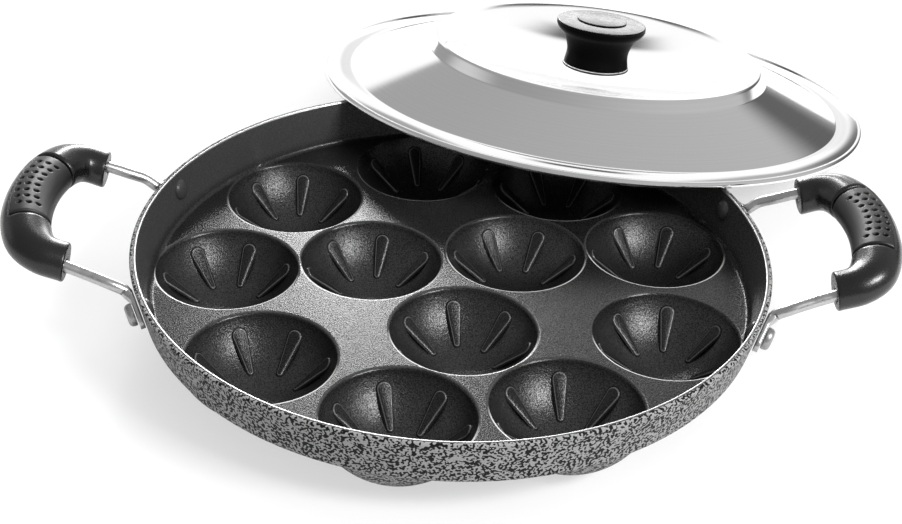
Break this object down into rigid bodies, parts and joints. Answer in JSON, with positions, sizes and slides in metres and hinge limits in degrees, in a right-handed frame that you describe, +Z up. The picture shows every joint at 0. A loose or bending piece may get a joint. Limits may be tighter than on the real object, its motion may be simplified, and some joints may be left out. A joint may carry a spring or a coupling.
{
  "type": "takoyaki pan",
  "caption": "Round stovetop pan pressed into ribbed hemispherical cups for batter balls, with a flared wall, two riveted side handles and a knobbed steel lid leaning on its rim.",
  "frame": {"origin": "on the pan's axis, in the plane of the table that the cups' feet stand on", "axes": "+Z up along the pan's axis; the two handles lie along X; -Y is the front, and the lid leans out at the back, towards +Y"},
  "size_m": [0.3356, 0.3858, 0.056],
  "materials": {
    "coated_aluminium": "dark non-stick coat inside, speckled hammer paint outside, bare rim edge",
    "rod_steel": "bright plated round rod",
    "grip_plastic": "satin black moulded",
    "pad_rubber": "dimpled soft black pad",
    "rivet_aluminium": "bare, pressed",
    "lid_steel": "polished stainless sheet",
    "knob_plastic": "gloss black moulded",
    "fastener_steel": "plain turned"
  },
  "bodies": {
    "pan": {"pan_body": "coated_aluminium", "left_handle_rod": "rod_steel", "left_grip": "grip_plastic", "left_grip_pad": "pad_rubber", "left_front_rivet": "rivet_aluminium", "left_rear_rivet": "rivet_aluminium", "right_handle_rod": "rod_steel", "right_grip": "grip_plastic", "right_grip_pad": "pad_rubber", "right_front_rivet": "rivet_aluminium", "right_rear_rivet": "rivet_aluminium"},
    "lid": {"lid_shell": "lid_steel", "knob_seat_ring": "fastener_steel", "lid_knob": "knob_plastic", "knob_cap": "knob_plastic", "lid_screw": "fastener_steel", "screw_washer": "fastener_steel", "lock_washer": "fastener_steel", "knob_nut": "fastener_steel"}
  },
  "joints": [
    {"name": "lid_lift", "type": "slide", "parent": "pan", "child": "lid", "axis": [0, 0, 1], "range_m": [0, 0.12]}
  ]
}
